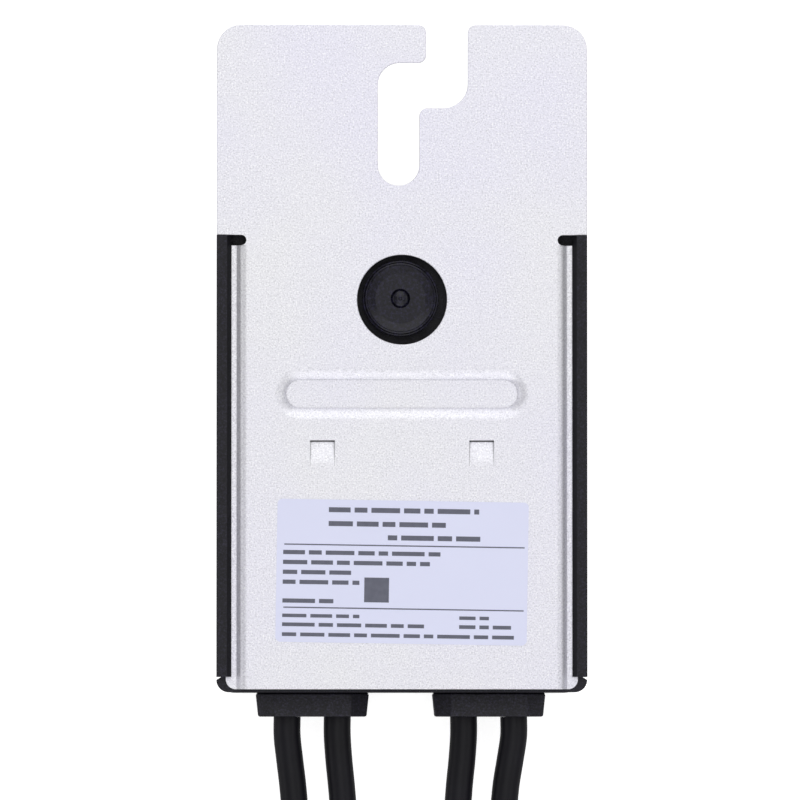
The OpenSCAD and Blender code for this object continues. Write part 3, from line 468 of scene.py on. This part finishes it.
for lead in LEADS:
    on_end = [nodes[lead + part] for part in ("_nut", "_body", "_contact")]
    path = smooth(ROUTES[lead])
    replaced = [lead + "_lead"]
    if lead == "output_positive":
        path += smooth(coil_points(), parts=2)
        path += smooth(turn_off(TAIL_X, TAIL_BEND_R), parts=2)
        path += smooth(TAIL)
        replaced += ["lead_coil", "output_positive_tail"]
        on_end.append(nodes["coil_ties"])
    cord = lead_curve("lead_" + lead, path)
    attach(cord, "root")
    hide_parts(*replaced)


# Print on the label, in millimetres from the label's middle and along its own axes: two rules and
# a plain square, and rows of plain bars. Each row is broken into bars of these lengths in turn.

LABEL_TURN = math.radians(-0.9)
INK_T = 0.02
BAR_LENGTHS = (4.4, 2.6, 5.8, 3.3, 1.9, 6.6, 2.9, 4.9)
BAR_GAP = 0.8
SHORTEST_BAR = 1
# Left end, middle height, length and height
RULES_AND_SQUARE = [
    (-23.9, 5.3, 48.6, 0.25), (-23.9, -7.45, 48.6, 0.25), (-7.6, -3.7, 5.0, 5.0)]
# Middle height, left end, right end and height of the bars
ROWS = (
    (12.4, -15.0, 15.4, 1.0), (9.6, -15.0, 8.7, 1.0), (6.9, -3.0, 17.0, 1.0),
    (3.7, -24.1, 7.7, 0.85), (1.7, -24.1, 5.6, 0.85), (-0.3, -24.1, -9.0, 0.85),
    (-2.3, -24.1, -8.6, 0.85), (-6.1, -24.1, -12.6, 0.85),
    (-9.1, -24.1, -8.5, 0.7), (-9.1, 11.7, 17.8, 0.7), (-10.9, -24.1, 4.6, 0.75),
    (-10.9, 11.7, 22.2, 0.75), (-12.9, -24.1, 22.8, 0.75))


def row_bars():
    bars = []
    for y, x, end, height in ROWS:
        while end - x > SHORTEST_BAR:
            width = min(BAR_LENGTHS[len(bars) % len(BAR_LENGTHS)], end - x)
            bars.append((x, y, width, height))
            x += width + BAR_GAP
    return bars


def label_print():
    """All fields of the print as one mesh of thin blocks on the label's film."""
    low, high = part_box("rating_label")
    middle = (low + high) / 2
    mesh = bpy.data.meshes.new("label_print")
    bm = bmesh.new()
    for x, y, w, h in RULES_AND_SQUARE + row_bars():
        corners = [(x, y - h / 2), (x + w, y - h / 2), (x + w, y + h / 2), (x, y + h / 2)]
        rings = []
        for z in (0, INK_T * MM):
            ring = []
            for cx, cy in corners:
                px = cx * math.cos(LABEL_TURN) - cy * math.sin(LABEL_TURN)
                py = cx * math.sin(LABEL_TURN) + cy * math.cos(LABEL_TURN)
                ring.append(bm.verts.new((middle.x + px * MM, middle.y + py * MM, high.z + z)))
            rings.append(ring)
        bm.faces.new(rings[0][::-1])
        bm.faces.new(rings[1])
        for k in range(4):
            n = (k + 1) % 4
            bm.faces.new((rings[0][k], rings[0][n], rings[1][n], rings[1][k]))
    bm.to_mesh(mesh)
    bm.free()
    obj = add(bpy.data.objects.new("label_print", mesh))
    dress(obj, ink)
    return obj


printed = label_print()
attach(printed, "root")


# Camera, light and floor

CAMERA_AIM = Vector((-0.42, -6.03, 27.85)) * MM
CAMERA_FAR = 2.0
# How far the camera stands off the plate's upright, across and along
CAMERA_LEAN = (math.radians(-1.3), math.radians(-2.0))
SEEN_WIDTH = 161.8 * MM
SENSOR = 36
# Name, place, width and height, and watts. All shine towards the part's origin.
LIGHTS = (
    ("light_top", (0, 0, 1.6), (0.9, 0.8), 1.5),
    ("light_hook_side", (0, 1.05, 1.05), (1.4, 1.9), 9.5),
    ("light_lead_side", (0, -1.15, 0.95), (1.4, 1.9), 8.0),
    ("light_left", (-1.3, 0, 0.35), (1.6, 0.6), 2.0),
    ("light_right", (1.1, 0, 1.0), (1.6, 0.6), 2.2),
    ("light_glint", (-0.5, -1.2, 0.9), (0.2, 0.2), 0.6),
)
SKY = 0.37
FLOOR_HALF = 20
FLOOR_DROP = 0.05 * MM
FLOOR_GREY, FLOOR_GLOW = 0.8, 0.75

camera_data = bpy.data.cameras.new("camera")
camera_data.sensor_width = SENSOR
camera_data.lens = SENSOR * CAMERA_FAR / SEEN_WIDTH
camera_data.clip_start = 0.01
camera_data.clip_end = 100
camera = add(bpy.data.objects.new("camera", camera_data))
back = Vector((math.tan(CAMERA_LEAN[0]), math.tan(CAMERA_LEAN[1]), 1)).normalized()
right = Vector((0, 1, 0)).cross(back).normalized()
up = back.cross(right)
camera.location = CAMERA_AIM + CAMERA_FAR * back
camera.rotation_euler = Matrix((right, up, back)).transposed().to_euler()
bpy.context.scene.camera = camera
bpy.context.scene.view_settings.view_transform = "Standard"

for name, at, size, watts in LIGHTS:
    data = bpy.data.lights.new(name, "AREA")
    data.shape = "RECTANGLE"
    data.size, data.size_y = size
    data.energy = watts
    light = add(bpy.data.objects.new(name, data))
    light.location = at
    light.rotation_mode = "QUATERNION"
    light.rotation_quaternion = (-Vector(at)).to_track_quat("-Z", "Y")
    light.visible_camera = False

world = bpy.data.worlds.new("world")
bpy.context.scene.world = world
world.use_nodes = True
background = world.node_tree.nodes["Background"]
background.inputs["Color"].default_value = (1, 1, 1, 1)
background.inputs["Strength"].default_value = SKY

floor_corners = [(x * FLOOR_HALF, y * FLOOR_HALF, 0) for x, y in ((-1, -1), (1, -1), (1, 1), (-1, 1))]
floor_mesh = bpy.data.meshes.new("floor")
floor_mesh.from_pydata(floor_corners, [], [(0, 1, 2, 3)])
floor = add(bpy.data.objects.new("floor", floor_mesh))
floor.location.z = -FLOOR_DROP
floor.visible_glossy = False
floor_shade = Shade("floor", roughness=0.9)
floor_shade.bsdf.inputs["Base Color"].default_value = (*grey(FLOOR_GREY), 1)
floor_shade.bsdf.inputs["Emission Color"].default_value = (1, 1, 1, 1)
floor_shade.bsdf.inputs["Emission Strength"].default_value = FLOOR_GLOW
dress(floor, floor_shade.mat)
